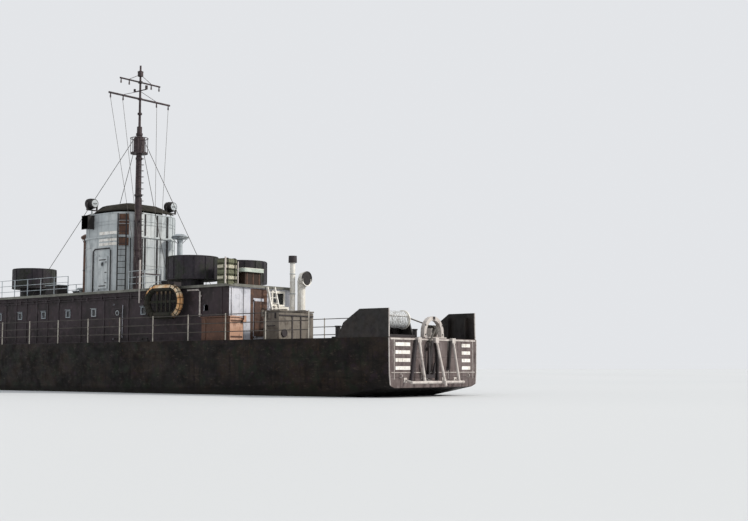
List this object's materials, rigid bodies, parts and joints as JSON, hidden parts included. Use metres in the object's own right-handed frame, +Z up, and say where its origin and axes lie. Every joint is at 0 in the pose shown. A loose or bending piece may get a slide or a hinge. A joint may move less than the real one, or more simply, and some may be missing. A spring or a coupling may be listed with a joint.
{
  "type": "large infantry landing craft, unarmed, 1:2 scale model",
  "caption": "Half-size model of a decked infantry landing craft with deckhouse, bridge tower, mast, bow gangways, stern winch, propellers and rudders.",
  "frame": {"origin": "amidships, on the centre line, at the waterline", "axes": "+X forward to the bow, +Y to port, +Z up"},
  "size_m": [24.4786, 3.558, 9.35],
  "materials": {
    "hull_paint": "dark weathered paint, rust streaks",
    "pale_paint": "pale grey weathered paint",
    "dark_paint": "dark matt paint",
    "steel": "worn steel",
    "bronze": "dull bronze",
    "wood": "weathered painted planks"
  },
  "bodies": {
    "craft": {"hull": "hull_paint", "hull_shoulder": "hull_paint", "hull_bow": "hull_paint", "bow_bulwark": "hull_paint", "stern_bulwark_port": "hull_paint", "stern_bulwark_starboard": "hull_paint", "anchor_guard": "pale_paint", "stern_anchor": "dark_paint", "roller_frame": "pale_paint", "winch_base": "dark_paint", "after_hatch": "pale_paint", "forward_hatch": "pale_paint", "port_locker": "wood", "deckhouse_walls": "pale_paint", "deckhouse_roof": "pale_paint", "deckhouse_ladder": "pale_paint", "pilothouse_walls": "pale_paint", "bridge_floor": "dark_paint", "bridge_wall": "pale_paint", "bridge_canopy": "dark_paint", "mast": "dark_paint", "bow_tub": "dark_paint", "middle_tub": "dark_paint", "port_tub": "dark_paint", "starboard_tub": "dark_paint", "tower_ladder": "dark_paint", "float_stack": "wood", "roof_locker": "pale_paint", "life_float_port": "wood", "life_float_starboard": "wood", "ventilator_fore": "pale_paint", "ventilator_after": "pale_paint", "cowl_ventilator": "pale_paint", "galley_stack": "pale_paint", "side_rail_port": "steel", "side_rail_starboard": "steel", "ramp_track_port": "dark_paint", "ramp_track_starboard": "dark_paint", "windlass_bed": "dark_paint", "shaft_bracket_port": "steel", "shaft_bracket_starboard": "steel"},
    "sheave": {"stern_sheave": "steel"},
    "winch": {"winch_drum": "pale_paint"},
    "after_lid": {"after_hatch_lid": "pale_paint"},
    "forward_lid": {"forward_hatch_lid": "pale_paint"},
    "locker_lid": {"port_locker_lid": "wood"},
    "port_door": {"deckhouse_door_port": "pale_paint"},
    "starboard_door": {"deckhouse_door_starboard": "pale_paint"},
    "after_door": {"deckhouse_door_after": "wood"},
    "tower_door": {"pilothouse_door": "pale_paint"},
    "port_lamp": {"searchlight_port": "dark_paint"},
    "starboard_lamp": {"searchlight_starboard": "dark_paint"},
    "port_ramp": {"gangway_ramp_port": "wood"},
    "starboard_ramp": {"gangway_ramp_starboard": "wood"},
    "windlass": {"windlass_drum": "steel"},
    "port_screw": {"propeller_port": "bronze"},
    "starboard_screw": {"propeller_starboard": "bronze"},
    "port_rudder": {"rudder_port": "hull_paint"},
    "starboard_rudder": {"rudder_starboard": "hull_paint"}
  },
  "joints": [
    {"name": "sheave_spin", "type": "hinge", "parent": "craft", "child": "sheave", "pos_m": [-11.925, -0.125, 1.42], "axis": [0, 1, 0], "continuous": true},
    {"name": "winch_spin", "type": "hinge", "parent": "craft", "child": "winch", "pos_m": [-11.525, 0.8, 1.65], "axis": [0, 1, 0], "continuous": true},
    {"name": "after_lid_hinge", "type": "hinge", "parent": "craft", "child": "after_lid", "pos_m": [-7.515, 0, 1.95], "axis": [0, 1, 0], "range_deg": [0, 95]},
    {"name": "forward_lid_hinge", "type": "hinge", "parent": "craft", "child": "forward_lid", "pos_m": [5.46, 0, 1.70033], "axis": [0, 1, 0], "range_deg": [0, 95]},
    {"name": "locker_lid_hinge", "type": "hinge", "parent": "craft", "child": "locker_lid", "pos_m": [-7, 1.22, 1.7975], "axis": [1, 0, 0], "range_deg": [0, 90]},
    {"name": "port_door_hinge", "type": "hinge", "parent": "craft", "child": "port_door", "pos_m": [-2.595, 1.1195, 1.8], "axis": [0, 0, -1], "range_deg": [0, 110]},
    {"name": "starboard_door_hinge", "type": "hinge", "parent": "craft", "child": "starboard_door", "pos_m": [-2.595, -1.1195, 1.8], "axis": [0, 0, 1], "range_deg": [0, 110]},
    {"name": "after_door_hinge", "type": "hinge", "parent": "craft", "child": "after_door", "pos_m": [-6.8945, 0.27, 1.8], "axis": [0, 0, -1], "range_deg": [0, 100]},
    {"name": "tower_door_hinge", "type": "hinge", "parent": "craft", "child": "tower_door", "pos_m": [-1.845, 1.0445, 3.1], "axis": [0, 0, -1], "range_deg": [0, 110]},
    {"name": "port_lamp_train", "type": "hinge", "parent": "craft", "child": "port_lamp", "pos_m": [-1.325, 0.89, 5], "axis": [0, 0, 1], "continuous": true},
    {"name": "starboard_lamp_train", "type": "hinge", "parent": "craft", "child": "starboard_lamp", "pos_m": [-2.475, -0.89, 5], "axis": [0, 0, 1], "continuous": true},
    {"name": "port_ramp_run", "type": "slide", "parent": "craft", "child": "port_ramp", "axis": [1, 0, 0], "range_m": [0, 4.25]},
    {"name": "starboard_ramp_run", "type": "slide", "parent": "craft", "child": "starboard_ramp", "axis": [1, 0, 0], "range_m": [0, 4.25]},
    {"name": "windlass_spin", "type": "hinge", "parent": "craft", "child": "windlass", "pos_m": [10.55, 0, 1.92084], "axis": [0, 1, 0], "continuous": true},
    {"name": "port_screw_spin", "type": "hinge", "parent": "craft", "child": "port_screw", "pos_m": [-10.25, 0.625, -0.475], "axis": [1, 0, 0], "continuous": true},
    {"name": "starboard_screw_spin", "type": "hinge", "parent": "craft", "child": "starboard_screw", "pos_m": [-10.25, -0.625, -0.475], "axis": [1, 0, 0], "continuous": true},
    {"name": "port_rudder_turn", "type": "hinge", "parent": "craft", "child": "port_rudder", "pos_m": [-10.975, 0.625, -0.3], "axis": [0, 0, 1], "range_deg": [-35, 35]},
    {"name": "starboard_rudder_turn", "type": "hinge", "parent": "craft", "child": "starboard_rudder", "pos_m": [-10.975, -0.625, -0.3], "axis": [0, 0, 1], "range_deg": [-35, 35]}
  ],
  "couplings": [
    {"joint": "starboard_rudder_turn", "follows": "port_rudder_turn", "ratio": 1}
  ]
}
